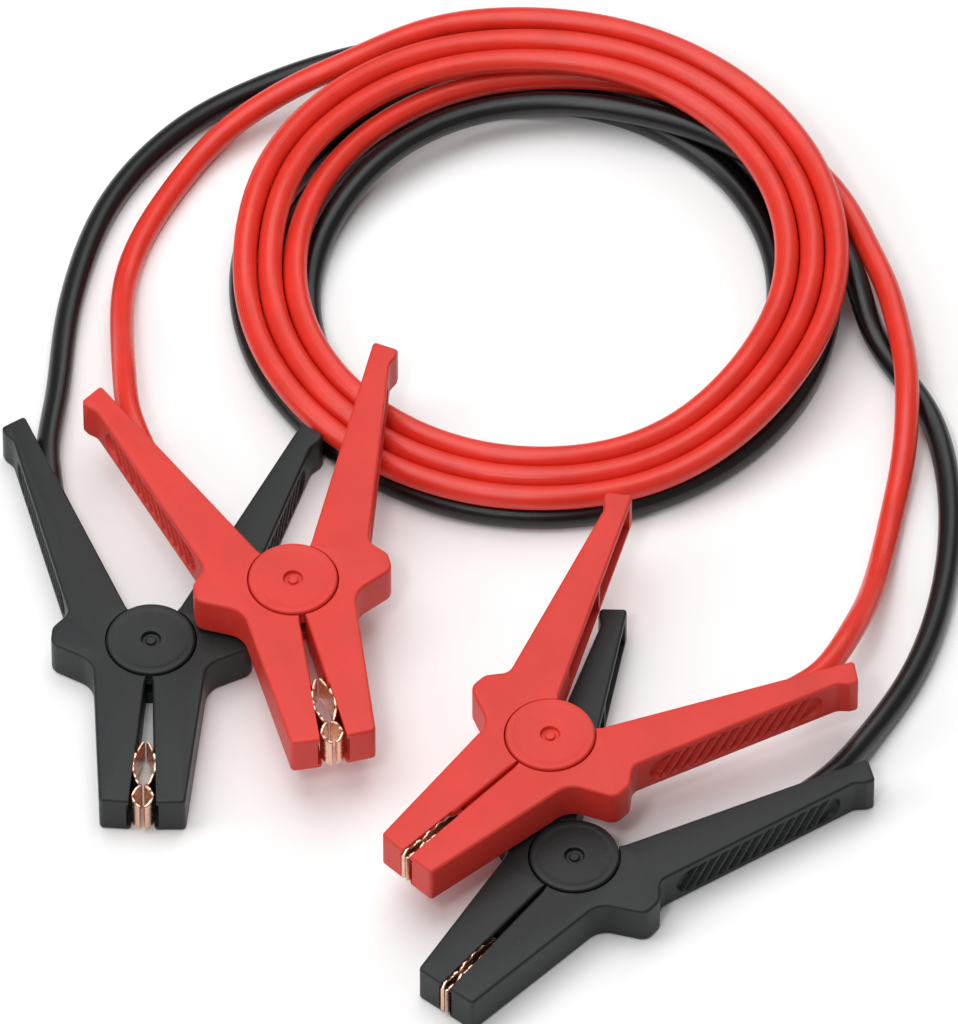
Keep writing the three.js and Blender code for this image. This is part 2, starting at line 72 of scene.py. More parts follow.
THICKNESS = 17.0
WALL = 2.5
GAP = 0.3
JAW_LENGTH = 74.5
JAW_ROOT = 19.4  # from the clamp's middle line to the jaw's outer side, at the hub and at the tip
JAW_TIP = 12.5
SLIT_ROOT = 0.5  # from the middle line to the jaw's inner face, at the hub and at the tip
SLIT_TIP = 1.2
ARMPIT = 11.2  # from the pivot down to the corner between jaw and shoulder
SHOULDER_REACH = 36.4
SHOULDER_TOP = 3.6
SHOULDER_BOTTOM = -3.9
HANDLE_LENGTH = 115.3
HANDLE_ANGLE = math.radians(27.5)
HANDLE_OFFSET = 2.3
HANDLE_ROOT = 27.0
ROOT_WIDTH = 19.7
TIP_WIDTH = 8.3
HOOK = 1.6
HOOK_LENGTH = 5.0
TAPER_END = HANDLE_LENGTH - 2 * HOOK_LENGTH + 1
CAP_RADIUS = 16.25
RECESS_RADIUS = 16.7
EAR_RADIUS = 16.2
PIN_RADIUS = 3.0
CAP_THICKNESS = 2.2
CAP_TOP = 18.0
EAR_THICKNESS = 1.6
GRIP_START = 31.0
GRIP_END = 100.0
GRIP_DEPTH = 1.7
GRIP_MARGIN = 2.9
GRIP_BACKING = 1.2  # plastic added to the wall behind the grip
RIB_LEAN = math.radians(30)
SOFT_EDGE = 0.3  # reach of the soft edges of the grip and its ribs
POCKET_DEPTH = 1.6
POCKET_LENGTH = 31.0
POCKET_BOTTOM = 2.2
POCKET_TOP = 14.8
OPEN_POCKET = 25.0  # length from the jaw's tip in which the pocket is open at the top
LIP_DEPTH = 0.9  # how much less deep the pocket is there than below
CONTACT_LENGTH = 29.5
CONTACT_OVERHANG = 0.8
CONTACT_THICKNESS = 1.2
SPRING_WIRE = 1.6
SPRING_RADIUS = 8.5
SPRING_LEG = 24.0
CABLE_SEAT = 33.0
CABLE_MOUTH = 91.0
CHANNEL_BOTTOM = 3.4
CHANNEL_TOP = 13.6
UPPER_LEVEL = 18.75

# The cable's middle inside a handle: the place along it, and how far out from its inner edge
CABLE_IN_HANDLE = [
    (CABLE_SEAT, 5), (52, 5), (68, 4.8), (80, 3.1), (CABLE_MOUTH, 0), (CABLE_MOUTH + 13, -4.6)]

# The cable's channel in a handle, in the same way: the place along, and how far out it reaches
UNCUT = -3.0
CHANNEL_END = 107.0
CHANNEL_REACH = [
    (CABLE_SEAT - GAP, 10.1), (69.4, 10.1), (82, 8.0), (CABLE_MOUTH, 6.1), (106, 0.8),
    (CHANNEL_END, UNCUT)]

# Fineness of the meshes
OUTLINE_STEP = 0.6  # between points on a clamp half's outline, about
CABLE_STEP = 3.0  # between a cable's rings
CABLE_SIDES = 24
COIL_POINTS = 24  # on each turn of a coil, for the curve to go through
WALKED_POINTS = 8000  # on a whole lead, to measure its length and space its rings evenly

# Turns and extra openings are in degrees. The cable side is 1 for the right-hand handle.
Clamp = namedtuple("Clamp", "colour pivot turn opening cable_side level")
CLAMPS = {
    "black_left": Clamp("black", (-103.1, 19.95), -1.8, 2.4, -1, 0.0),
    "red_left": Clamp("red", (-51.4, 33.25), 11.8, 2.4, -1, UPPER_LEVEL),
    "black_right": Clamp("black", (50.5, -79.15), -38.5, 0.0, 1, 0.0),
    "red_right": Clamp("red", (41.8, -38.45), -44.0, 0.0, 1, UPPER_LEVEL),
}

# Heights of a cable's middle on the floor, on one cable, and on two
LOW, MIDDLE, HIGH = 4.65, 13.95, 23.25

# The leads' free stretches from clamp to coil, as points on the floor plan with their heights
TAILS = {
    "red_left": [
        (-114.4, 142, 22.2), (-115.6, 167.4, 13.5), (-114.6, 198.4, 6), (-108.4, 221, LOW),
        (-100.8, 237, LOW), (-89.4, 255.8, 5.4), (-76, 270.2, 8.8), (-59, 281.2, 13.4),
        (-46, 287.4, 16.5),
    ],
    "red_right": [
        (151.2, 19, 22.6), (158.6, 43, 13), (163.6, 67, 6), (168, 90, 5), (172, 112, 8.6),
        (173.6, 132, 12.8), (173.4, 150, MIDDLE), (171.3, 167, MIDDLE), (167, 188, MIDDLE),
        (160, 208, MIDDLE),
    ],
    "black_left": [
        (-139.2, 145, 5.5), (-136.8, 175.3, LOW), (-132, 203.5, LOW), (-124.3, 229, LOW),
        (-113, 250.5, LOW), (-97.5, 269.5, LOW), (-79.6, 284, LOW), (-51, 299.5, LOW),
        (-26, 308.5, LOW), (0, 313.5, LOW),
    ],
    "black_right": [
        (159.5, -12, 5.2), (171.4, 8.7, LOW), (180.6, 32, LOW), (186.8, 59.9, LOW), (189, 88, LOW),
        (187, 114.8, LOW), (181, 137, LOW), (173, 152, LOW), (166.5, 163.5, 5.05),
        (161.5, 173.5, 7.2), (158, 184, 11.2),
    ],
}

# Each coil runs clockwise from 128 degrees about its centre: turns run, radius and height
COIL_START = 128.0
COILS = {
    "black": ((39, 193.95), [
        (0.09, 120, LOW), (0.16, 115, LOW), (0.25, 109.5, LOW), (0.35, 107, LOW), (0.6, 106.6, LOW),
        (0.74, 106.8, LOW), (0.82, 110, LOW), (0.88, 111.3, LOW), (0.94, 109.3, LOW), (1, 106, LOW),
        (1.12, 102, LOW), (1.3, 97.5, LOW), (1.6, 97.3, LOW), (1.86, 97.3, LOW), (2, 95, LOW),
        (2.12, 91, LOW), (2.3, 88.1, LOW), (2.6, 88, LOW), (2.8, 87, LOW), (2.86, 85.5, 5.45),
        (2.93, 83, 9.65), (3, 81.5, 13.65), (3.1, 82.5, MIDDLE), (3.17, 86, MIDDLE),
        (3.24, 95, MIDDLE), (3.3, 105.5, MIDDLE), (3.345, 114, MIDDLE),
    ]),
    "red": ((39, 197.95), [
        (0, 119, 19.3), (0.06, 115.4, 22), (0.12, 111.6, HIGH), (0.25, 109.6, HIGH),
        (0.42, 109.6, HIGH), (0.55, 109.6, MIDDLE), (0.82, 109.6, MIDDLE), (0.92, 109.2, HIGH),
        (1, 107, HIGH), (1.12, 101.2, HIGH), (1.25, 100.3, HIGH), (1.42, 100.3, HIGH),
        (1.55, 100.3, MIDDLE), (1.82, 100.3, MIDDLE), (1.92, 99.8, HIGH), (2, 97, HIGH),
        (2.12, 91.6, HIGH), (2.25, 91, HIGH), (2.42, 91, HIGH), (2.55, 91, MIDDLE),
        (2.82, 91, MIDDLE), (3, 90.5, MIDDLE), (3.1, 91.5, MIDDLE), (3.18, 97, MIDDLE),
        (3.25, 106, MIDDLE), (3.31, 116, MIDDLE),
    ]),
}


class JumperLeadSizes(bpy.types.PropertyGroup):
    cable_diameter: bpy.props.FloatProperty(
        name="Cable diameter", default=9.0,
        description="Thickness of each lead's jacket, in millimetres")
    edge_radius: bpy.props.FloatProperty(
        name="Edge radius", default=1.1,
        description="Rounding of the clamp halves' rims, in millimetres")
    rib_pitch: bpy.props.FloatProperty(
        name="Rib pitch", description="Spacing of the grip ribs, in millimetres", default=4.7)
    rib_width: bpy.props.FloatProperty(
        name="Rib width", description="Width of each grip rib, in millimetres", default=2.1)
    rib_height: bpy.props.FloatProperty(
        name="Rib height", default=1.5,
        description="Height of the ribs over the grip's floor, in millimetres")
    texture_size: bpy.props.FloatProperty(
        name="Mould texture size", default=0.7,
        description="Grain of the moulded plastic, in millimetres")


class JumperLeadColours(bpy.types.PropertyGroup):
    red_plastic: bpy.props.FloatVectorProperty(
        name="Red plastic", description="Moulding colour of the red clamps", size=4, subtype="COLOR",
        min=0, max=1, default=linear("D5352A"))
    black_plastic: bpy.props.FloatVectorProperty(
        name="Black plastic", description="Moulding colour of the black clamps", size=4, subtype="COLOR",
        min=0, max=1, default=linear("181B1C"))
    red_cable: bpy.props.FloatVectorProperty(
        name="Red jacket", description="Colour of the red lead's jacket", size=4, subtype="COLOR",
        min=0, max=1, default=linear("DE3122"))
    black_cable: bpy.props.FloatVectorProperty(
        name="Black jacket", description="Colour of the black lead's jacket", size=4, subtype="COLOR",
        min=0, max=1, default=linear("0A0B0C"))
    floor: bpy.props.FloatVectorProperty(
        name="Floor", description="Colour of the pale floor", size=4, subtype="COLOR",
        min=0, max=1, default=linear("FAFAFA"))


# Materials


def add_node(tree, kind, settings=None, values=None, links=None):
    """Adds one shader node, sets its fields and socket values, and links sockets from other nodes."""
    node = tree.nodes.new(kind)
    for key, value in (settings or {}).items():
        setattr(node, key, value)
    for socket, value in (values or {}).items():
        node.inputs[socket].default_value = value
    for socket, source in (links or {}).items():
        tree.links.new(source, node.inputs[socket])
    return node


def new_material(name):
    """Starts a node material, or returns None for one that is there already."""
    if name in bpy.data.materials:
        return None
    material = bpy.data.materials.new(name)
    material.use_nodes = True
    material.node_tree.nodes.clear()
    return material


def moulded_plastic(name, colour, grain):
    """Glass-filled nylon from a spark-eroded mould: a satin, finely pebbled face."""
    material = new_material(name)
    if material is None:
        return bpy.data.materials[name]
    tree = material.node_tree
    place = add_node(tree, "ShaderNodeTexCoord").outputs["Object"]
    # Flow of the melt leaves faint lighter and darker clouds about 25 mm across.
    clouds = add_node(tree, "ShaderNodeTexNoise", values={"Scale": 40.0, "Detail": 3.0},
                      links={"Vector": place})
    shade = add_node(tree, "ShaderNodeMapRange",
                     values={"From Min": 0.3, "From Max": 0.7, "To Min": 0.93, "To Max": 1.06},
                     links={"Value": clouds.outputs["Fac"]})
    tint = add_node(tree, "ShaderNodeHueSaturation", values={"Color": colour},
                    links={"Value": shade.outputs["Result"]})
    # The mould's pebbles, drawn at the grain that the camera can still see.
    pebbles = add_node(tree, "ShaderNodeTexNoise",
                       values={"Scale": 1000.0 / grain, "Detail": 2.0, "Roughness": 0.6},
                       links={"Vector": place})
    sheen = add_node(tree, "ShaderNodeMapRange", values={"To Min": 0.38, "To Max": 0.56},
                     links={"Value": pebbles.outputs["Fac"]})
    bump = add_node(tree, "ShaderNodeBump", values={"Strength": 0.5, "Distance": 0.0002},
                    links={"Height": pebbles.outputs["Fac"]})
    shader = add_node(tree, "ShaderNodeBsdfPrincipled", values={"IOR": 1.53, "Specular IOR Level": 0.35},
                      links={"Base Color": tint.outputs["Color"], "Roughness": sheen.outputs["Result"],
                             "Normal": bump.outputs["Normal"]})
    add_node(tree, "ShaderNodeOutputMaterial", links={"Surface": shader.outputs["BSDF"]})
    return material


def cable_jacket(name, colour):
    """Extruded soft PVC: an even, waxy gloss with faint draw lines along the cable and soft dimples,
    with painted shade darkening the dimples.
    """
    material = new_material(name)
    if material is None:
        return bpy.data.materials[name]
    tree = material.node_tree
    along = add_node(tree, "ShaderNodeTexCoord").outputs["UV"]
    place = add_node(tree, "ShaderNodeTexCoord").outputs["Object"]
    # The die draws lines along the jacket: long in U (metres along), short in V, which runs
    # from 1 to 0 and back to 1 round it and so leaves no seam.
    stretched = add_node(tree, "ShaderNodeMapping", values={"Scale": (4.0, 60.0, 1.0)},
                         links={"Vector": along})
    lines = add_node(tree, "ShaderNodeTexNoise", values={"Scale": 1.0, "Detail": 2.0},
                     links={"Vector": stretched.outputs["Vector"]})
    # The strands under the jacket leave dimples about 12 mm apart; the same noise paints shade into the
    # colour, darker in the dimples and lighter on their bumps.
    dimples = add_node(tree, "ShaderNodeTexNoise", values={"Scale": 80.0, "Detail": 2.0},
                       links={"Vector": place})
    height = add_node(tree, "ShaderNodeMath", {"operation": "ADD"},
                      links={0: lines.outputs["Fac"], 1: dimples.outputs["Fac"]})
    bump = add_node(tree, "ShaderNodeBump", values={"Strength": 0.25, "Distance": 0.0003},
                    links={"Height": height.outputs["Value"]})
    # Painted shade: the jacket's colour is darker in the dimples and lighter on the bumps between them.
    shade = add_node(tree, "ShaderNodeMapRange",
                     values={"From Min": 0.3, "From Max": 0.7, "To Min": 0.93, "To Max": 1.06},
                     links={"Value": dimples.outputs["Fac"]})
    tint = add_node(tree, "ShaderNodeHueSaturation", values={"Color": colour},
                    links={"Value": shade.outputs["Result"]})
    gloss = add_node(tree, "ShaderNodeMapRange", values={"To Min": 0.2, "To Max": 0.32},
                     links={"Value": lines.outputs["Fac"]})
    shader = add_node(tree, "ShaderNodeBsdfPrincipled", values={"IOR": 1.53, "Specular IOR Level": 0.42},
                      links={"Base Color": tint.outputs["Color"], "Roughness": gloss.outputs["Result"],
                             "Normal": bump.outputs["Normal"]})
    add_node(tree, "ShaderNodeOutputMaterial", links={"Surface": shader.outputs["BSDF"]})
    return material


def metal(name, dark, light, roughness, scale, depth):
    """A metal face whose colour and gloss drift with handling marks of the size that scale gives."""
    material = new_material(name)
    if material is None:
        return bpy.data.materials[name]
    tree = material.node_tree
    place = add_node(tree, "ShaderNodeTexCoord").outputs["Object"]
    marks = add_node(tree, "ShaderNodeTexNoise", values={"Scale": scale, "Detail": 4.0},
                     links={"Vector": place})
    colour = add_node(tree, "ShaderNodeMix", {"data_type": "RGBA"}, values={6: dark, 7: light},
                      links={0: marks.outputs["Fac"]})
    gloss = add_node(tree, "ShaderNodeMapRange",
                     values={"To Min": roughness - 0.08, "To Max": roughness + 0.1},
                     links={"Value": marks.outputs["Fac"]})
    bump = add_node(tree, "ShaderNodeBump", values={"Strength": 0.4, "Distance": depth},
                    links={"Height": marks.outputs["Fac"]})
    shader = add_node(tree, "ShaderNodeBsdfPrincipled", values={"Metallic": 1.0},
                      links={"Base Color": colour.outputs[2], "Roughness": gloss.outputs["Result"],
                             "Normal": bump.outputs["Normal"]})
    add_node(tree, "ShaderNodeOutputMaterial", links={"Surface": shader.outputs["BSDF"]})
    return material


def copper_plate():
    """Copper-plated pressed steel: pale pink metal with darker and lighter marks of about 1.4 mm."""
    return metal("copper_plated_strip", linear("D29A7C"), linear("F8D8C4"), 0.24, 700.0, 0.00004)


def spring_wire_steel():
    """Hard-drawn spring wire: grey metal with marks of about 0.7 mm."""
    return metal("hard_drawn_spring_wire", linear("8E9092"), linear("B9BBBD"), 0.32, 1500.0, 0.00003)


def matt_paper(name, colour):
    """A backdrop of white paper: nearly without gloss, with a fibre of about 3 mm in its roughness."""
    material = new_material(name)
    if material is None:
        return bpy.data.materials[name]
    tree = material.node_tree
    spot = add_node(tree, "ShaderNodeTexCoord").outputs["Object"]
    fibre = add_node(tree, "ShaderNodeTexNoise", values={"Scale": 300.0}, links={"Vector": spot})
    rough = add_node(tree, "ShaderNodeMapRange", values={"To Min": 0.85, "To Max": 0.95},
                     links={"Value": fibre.outputs["Fac"]})
    shader = add_node(tree, "ShaderNodeBsdfPrincipled",
                      values={"Base Color": colour, "Specular IOR Level": 0.1},
                      links={"Roughness": rough.outputs["Result"]})
    add_node(tree, "ShaderNodeOutputMaterial", links={"Surface": shader.outputs["BSDF"]})
    return material


def nylon_of(clamp, scene):
    """The moulding material of one clamp, in its colour from the panel."""
    colour = CLAMPS[clamp].colour
    pigment = getattr(scene.jumper_lead_colours, f"{colour}_plastic")
    return moulded_plastic(f"moulded_nylon_{colour}", pigment, scene.jumper_lead_sizes.texture_size)


# Meshes from grids


def grid_faces(rows, columns, first=0, close_rows=False):
    """Quads between neighbouring rows of a grid whose columns run round and close on themselves."""
    i = np.arange(rows if close_rows else rows - 1)[:, None]
    j = np.arange(columns)[None, :]
    after = (j + 1) % columns
    above = (i + 1) % rows
    corners = [i * columns + j, i * columns + after, above * columns + after, above * columns + j]
    return (np.stack(np.broadcast_arrays(*corners), -1).reshape(-1, 4) + first).tolist()


def closed_grid(points):
    """A grid of closed rings from low to high, with a flat face over each end ring."""
    rows, columns = points.shape[:2]
    faces = grid_faces(rows, columns)
    faces.append(list(range(columns))[::-1])
    faces.append(list(range((rows - 1) * columns, rows * columns)))
    return points.reshape(-1, 3), faces


def turned(profile, columns=128):
    """Each ring of the profile (radius, height) is radius times cosine and sine of the angle."""
    profile = np.asarray(profile, float)
    angle = np.linspace(0, 2 * math.pi, columns, endpoint=False)
    radius, height = profile[:, :1], profile[:, 1:]
    return np.stack([radius * np.cos(angle), radius * np.sin(angle), height + 0 * angle], -1)


def joined(*parts):
    """Several vertex and face lists as one."""
    vertices, faces, first = [], [], 0
    for part_vertices, part_faces in parts:
        vertices.append(part_vertices)
        faces += [[v + first for v in face] for face in part_faces]
        first += len(part_vertices)
    return np.concatenate(vertices), faces


def arc(centre, radius, start, stop, steps):
    """Points at equal angles, in degrees, on a circle in the plane."""
    angle = np.radians(np.linspace(start, stop, steps))
    x, y = centre[0] + radius * np.cos(angle), centre[1] + radius * np.sin(angle)
    return list(zip(x, y))


def tube_grid(path, radius, sides):
    """Rings square to a path: radius times the cosine of the angle to the side and its sine upwards."""
    along = np.gradient(path, axis=0)
    along /= np.linalg.norm(along, axis=1)[:, None]
    side = np.cross(along, [0, 0, 1])
    side /= np.linalg.norm(side, axis=1)[:, None]
    upward = np.cross(side, along)
    angle = np.linspace(0, 2 * math.pi, sides, endpoint=False)[None, :, None]
    return path[:, None] + radius * (np.cos(angle) * side[:, None] + np.sin(angle) * upward[:, None])


def add_piece(name, shape, material, body, nodes, sharp=40.0, uv=None):
    """Makes the mesh in metres, smooth up to creases of the sharp angle, and rides it on its body."""
    vertices, faces = shape
    mesh = bpy.data.meshes.new(name)
    mesh.from_pydata((np.asarray(vertices) / 1000).tolist(), [], faces)
    mesh.polygons.foreach_set("use_smooth", np.ones(len(mesh.polygons), bool))
    mesh.set_sharp_from_angle(angle=math.radians(sharp))
    if uv is not None:
        corner_vertex = np.empty(len(mesh.loops), np.int32)
        mesh.loops.foreach_get("vertex_index", corner_vertex)
        layer = mesh.uv_layers.new(name="UVMap")
        layer.data.foreach_set("uv", np.asarray(uv, np.float32)[corner_vertex].ravel())
    mesh.materials.append(material)
    mesh.validate()
    piece = bpy.data.objects.new(name, mesh)
    bpy.context.scene.collection.objects.link(piece)
    if body:
        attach(piece, body)
    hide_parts(*nodes)
    return piece


# Places on a clamp


def on_handle(along, across):
    """A place on the right-hand handle: along its inner edge from the pivot, and out across it."""
    sin, cos = math.sin(HANDLE_ANGLE), math.cos(HANDLE_ANGLE)
    return along * sin + (across + HANDLE_OFFSET) * cos, along * cos - (across + HANDLE_OFFSET) * sin


def from_handle(x, y):
    """The inverse of on_handle."""
    sin, cos = math.sin(HANDLE_ANGLE), math.cos(HANDLE_ANGLE)
    return x * sin + y * cos, x * cos - y * sin - HANDLE_OFFSET


def handle_width(along):
    """The handle's even taper, from its inner edge to its outer one."""
    return ROOT_WIDTH - (ROOT_WIDTH - TIP_WIDTH) / (TAPER_END - HANDLE_ROOT) * (along - HANDLE_ROOT)


def slit_face(y):
    """How far the jaw's inner face stands from the middle line: the slit widens towards the tip."""
    return SLIT_ROOT + (SLIT_TIP - SLIT_ROOT) * (-RECESS_RADIUS - y) / (JAW_LENGTH - RECESS_RADIUS)


def place(vertices, clamp, side, opened=True):
    """Mirrors a right-hand shape for the left side, opens it, turns it with the clamp and moves it."""
    lie = CLAMPS[clamp]
    angle = math.radians(side * lie.opening if opened else 0) + math.radians(lie.turn)
    x, y, z = np.moveaxis(np.asarray(vertices, float), -1, 0)
    x = x * side
    cos, sin = math.cos(angle), math.sin(angle)
    turned_x, turned_y = x * cos - y * sin, x * sin + y * cos
    return np.stack([turned_x + lie.pivot[0], turned_y + lie.pivot[1], z + lie.level], -1)


def placed(shape, clamp, side, opened=True):
    """A placed shape whose faces are turned round again where the mirroring turned them in."""
    vertices, faces = shape
    return place(vertices, clamp, side, opened), [f[::-1] for f in faces] if side < 0 else faces


# Leads


def eased(x, y, at):
    """Cubic Hermite curve through (x, y) whose slopes are harmonic means, so it never overshoots."""
    h = np.diff(x)
    d = np.diff(y) / h
    w1, w2 = 2 * h[1:] + h[:-1], h[1:] + 2 * h[:-1]
    same = d[:-1] * d[1:] > 0
    safe = np.where(same, d[:-1], 1), np.where(same, d[1:], 1)
    mean = (w1 + w2) / (w1 / safe[0] + w2 / safe[1])
    slope = np.concatenate([d[:1], np.where(same, mean, 0), d[-1:]])
    i = np.clip(np.searchsorted(x, at) - 1, 0, len(x) - 2)
    t = (at - x[i]) / h[i]
    return ((2 * t**3 - 3 * t**2 + 1) * y[i] + (t**3 - 2 * t**2 + t) * h[i] * slope[i]
            + (3 * t**2 - 2 * t**3) * y[i + 1] + (t**3 - t**2) * h[i] * slope[i + 1])


def natural_spline(points, spacing):
    """Cubic in the square root of the chord, no bend at the ends, then walked at equal steps."""
    p = np.asarray(points, float)
    u = np.concatenate([[0], np.cumsum(np.sqrt(np.linalg.norm(np.diff(p, axis=0), axis=1)))])
    h = np.diff(u)
    inner = np.arange(1, len(p) - 1)
    system = np.eye(len(p))
    system[inner, inner - 1] = h[:-1]
    system[inner, inner] = 2 * (h[:-1] + h[1:])
    system[inner, inner + 1] = h[1:]
    right = np.zeros_like(p)
    right[1:-1] = 6 * np.diff(np.diff(p, axis=0) / h[:, None], axis=0)
    bend = np.linalg.solve(system, right)
    at = np.linspace(0, u[-1], WALKED_POINTS)
    i = np.clip(np.searchsorted(u, at) - 1, 0, len(h) - 1)
    a, b, hh = (u[i + 1] - at)[:, None], (at - u[i])[:, None], h[i][:, None]
    curve = (bend[i] * a**3 + bend[i + 1] * b**3) / (6 * hh)
    curve += (p[i] / hh - bend[i] * hh / 6) * a + (p[i + 1] / hh - bend[i + 1] * hh / 6) * b
    run = np.concatenate([[0], np.cumsum(np.linalg.norm(np.diff(curve, axis=0), axis=1))])
    even = np.linspace(0, run[-1], int(run[-1] / spacing) + 1)
    return np.stack([np.interp(even, run, curve[:, k]) for k in range(3)], 1), run[-1]


def inside_clamp(clamp):
    """The lead's points in the handle, from its end by the spring to its mouth."""
    points = [(*on_handle(along, across), THICKNESS / 2) for along, across in CABLE_IN_HANDLE]
    return [tuple(p) for p in place(points, clamp, CLAMPS[clamp].cable_side)]


def coil_points(colour):
    """The coil's centre plus the eased radius, at the angle that the turns have reached."""
    (x, y), keys = COILS[colour]
    turns, radius, height = np.array(keys, float).T
    at = np.linspace(turns[0], turns[-1], int((turns[-1] - turns[0]) * COIL_POINTS) + 1)
    angle = math.radians(COIL_START) - 2 * math.pi * at
    r, z = eased(turns, radius, at), eased(turns, height, at)
    return np.stack([x + r * np.cos(angle), y + r * np.sin(angle), z], 1).tolist()


class LEADS_OT_cable(bpy.types.Operator):
    """Adds one lead: a round jacket swept along its route from clamp to clamp through the coil"""
    bl_idname = "jumper_leads.cable"
    bl_label = "Add a lead"
    colour: bpy.props.StringProperty(name="Colour", description="Which lead", default="red")

    def execute(self, context):
        sizes, colours = context.scene.jumper_lead_sizes, context.scene.jumper_lead_colours
        name = self.colour
        left, right = f"{name}_left", f"{name}_right"
        route = [*inside_clamp(left), *TAILS[left], *coil_points(name),
                 *TAILS[right][::-1], *inside_clamp(right)[::-1]]
        path, length = natural_spline(route, CABLE_STEP)
        grid = tube_grid(path, sizes.cable_diameter / 2, CABLE_SIDES)
        run = np.linspace(0, length / 1000, len(path))[:, None] + np.zeros(CABLE_SIDES)
        turn = np.zeros((len(path), 1)) + np.abs(np.linspace(-1, 1, CABLE_SIDES, endpoint=False))
        uv = np.stack([run, turn], -1).reshape(-1, 2)
        jacket = cable_jacket(f"soft_pvc_jacket_{name}", getattr(colours, f"{name}_cable"))
        nodes = [f"{name}_cable_coil", f"{name}_cable_tail_left", f"{name}_cable_tail_right"]
        piece = add_piece(f"{name}_lead", closed_grid(grid), jacket, "leads",
                          nodes, uv=uv)
        return {"FINISHED"}


# Clamp halves


def outline_corners():
    """Corners of the right-hand half on the plan, each with its rounding, run counterclockwise."""
    def jaw_side(y):
        share = (y + RECESS_RADIUS) / (RECESS_RADIUS - JAW_LENGTH)
        return JAW_ROOT + (JAW_TIP - JAW_ROOT) * share

    above_shoulder = HANDLE_ROOT - 3.2
    return [
        (SLIT_TIP, -JAW_LENGTH, 1.3), (jaw_side(-JAW_LENGTH), -JAW_LENGTH, 1.8),
        (jaw_side(-ARMPIT) + 0.2, -ARMPIT, 9.0),
        (SHOULDER_REACH, SHOULDER_BOTTOM, 4.6), (SHOULDER_REACH, SHOULDER_TOP, 4.6),
        (*on_handle(above_shoulder, handle_width(above_shoulder)), 5.0),
        (*on_handle(TAPER_END, handle_width(TAPER_END)), 5.0),
        (*on_handle(HANDLE_LENGTH - HOOK_LENGTH, TIP_WIDTH + HOOK), 1.5),
        (*on_handle(HANDLE_LENGTH - HOOK, TIP_WIDTH + HOOK), 1.5),
        (*on_handle(HANDLE_LENGTH, 0), 1.3),
    ]


def rounded_run(corners, start, end):
    """Straight runs joined by tangent arcs, from start to end, in steps of about 0.6 mm."""
    knots = [np.array(start, float), *[np.array(c[:2]) for c in corners], np.array(end, float)]
    curves = []
    for k, (*_, radius) in enumerate(corners, start=1):
        corner = knots[k]
        before, after = knots[k - 1] - corner, knots[k + 1] - corner
        limit = 0.48 * min(np.linalg.norm(before), np.linalg.norm(after))
        before, after = before / np.linalg.norm(before), after / np.linalg.norm(after)
        half = math.acos(np.clip(before @ after, -1, 1)) / 2
        reach = min(radius / math.tan(half), limit)
        radius = reach * math.tan(half)
        centre = corner + (before + after) / np.linalg.norm(before + after) * radius / math.sin(half)
        a, b = corner + before * reach - centre, corner + after * reach - centre
        sweep = math.atan2(a[0] * b[1] - a[1] * b[0], a @ b)
        steps = max(6, int(abs(sweep) * radius / OUTLINE_STEP))
        turn = np.linspace(0, sweep, steps + 1)
        curves.append(np.stack([centre[0] + a[0] * np.cos(turn) - a[1] * np.sin(turn),
                                centre[1] + a[0] * np.sin(turn) + a[1] * np.cos(turn)], 1))
    runs, here = [], knots[0]
    for curve in [*curves, np.array([end], float)]:
        count = max(2, int(np.linalg.norm(curve[0] - here) / OUTLINE_STEP))
        runs.append(here + (curve[0] - here) * np.linspace(0, 1, count, endpoint=False)[:, None])
        if len(curve) > 1:
            runs.append(curve[:-1])
        here = curve[-1]
    return np.concatenate(runs)


def half_outline():
    """The half's edge on the plan, whose last run is the round bite for the hub."""
    top = np.array(on_handle(math.sqrt(RECESS_RADIUS**2 - HANDLE_OFFSET**2), 0))
    bottom = np.array([SLIT_ROOT, -math.sqrt(RECESS_RADIUS**2 - SLIT_ROOT**2)])
    run = rounded_run(outline_corners(), bottom, top)
    first, last = math.atan2(top[1], top[0]), math.atan2(bottom[1], bottom[0])
    bite = np.array(arc((0, 0), RECESS_RADIUS, math.degrees(first), math.degrees(last), 60))[:-1]
    return np.concatenate([run, bite])


def smooth(value, low, high):
    """Rises from 0 at low to 1 at high, as 3t^2 - 2t^3."""
    t = np.clip((value - low) / (high - low), 0, 1)
    return t * t * (3 - 2 * t)


def grip_depth(along, height, sizes):
    """Depth of the grip at a place on the outer face: a round-ended slot, less its leaning ribs."""
    half = THICKNESS / 2 - GRIP_MARGIN
    length = GRIP_END - GRIP_START
    run, up = along - GRIP_START, height - THICKNESS / 2
    nearest = np.clip(run, half, length - half)
    inside = smooth(half - np.hypot(run - nearest, up), -SOFT_EDGE, 0.4)
    leaning = run - math.tan(RIB_LEAN) * up
    phase = (leaning - half) / sizes.rib_pitch
    distance = np.abs(phase - np.round(phase)) * sizes.rib_pitch
    rib = 1 - smooth(distance, sizes.rib_width / 2 - SOFT_EDGE, sizes.rib_width / 2 + SOFT_EDGE)
    bare = half * 0.9  # length at each end of the slot that has no ribs
    ribbed = smooth(leaning, bare, bare + SOFT_EDGE) * (
        1 - smooth(leaning, length - bare - SOFT_EDGE, length - bare))
    return GRIP_DEPTH * inside - sizes.rib_height * rib * ribbed * inside


def channel_depth(along, holds_cable):
    """How far across the handle its hollow reaches from the inner edge, by the place along it. The
    cable's half has a channel for the cable, and the other half two hollows with a web between."""
    deep = handle_width(along) - WALL - GRIP_BACKING
    if holds_cable:
        places, reaches = zip(*CHANNEL_REACH)
        reach = np.interp(along, places, reaches)
        cut = (along > CABLE_SEAT - GAP) & (along < CHANNEL_END)
        return np.where(cut, np.minimum(reach, deep), UNCUT)
    end = HANDLE_LENGTH - 2 * WALL
    web = np.abs(along - (CABLE_SEAT + end) / 2) <= WALL / 2
    return np.where((along > CABLE_SEAT) & (along < end) & ~web, deep, UNCUT)


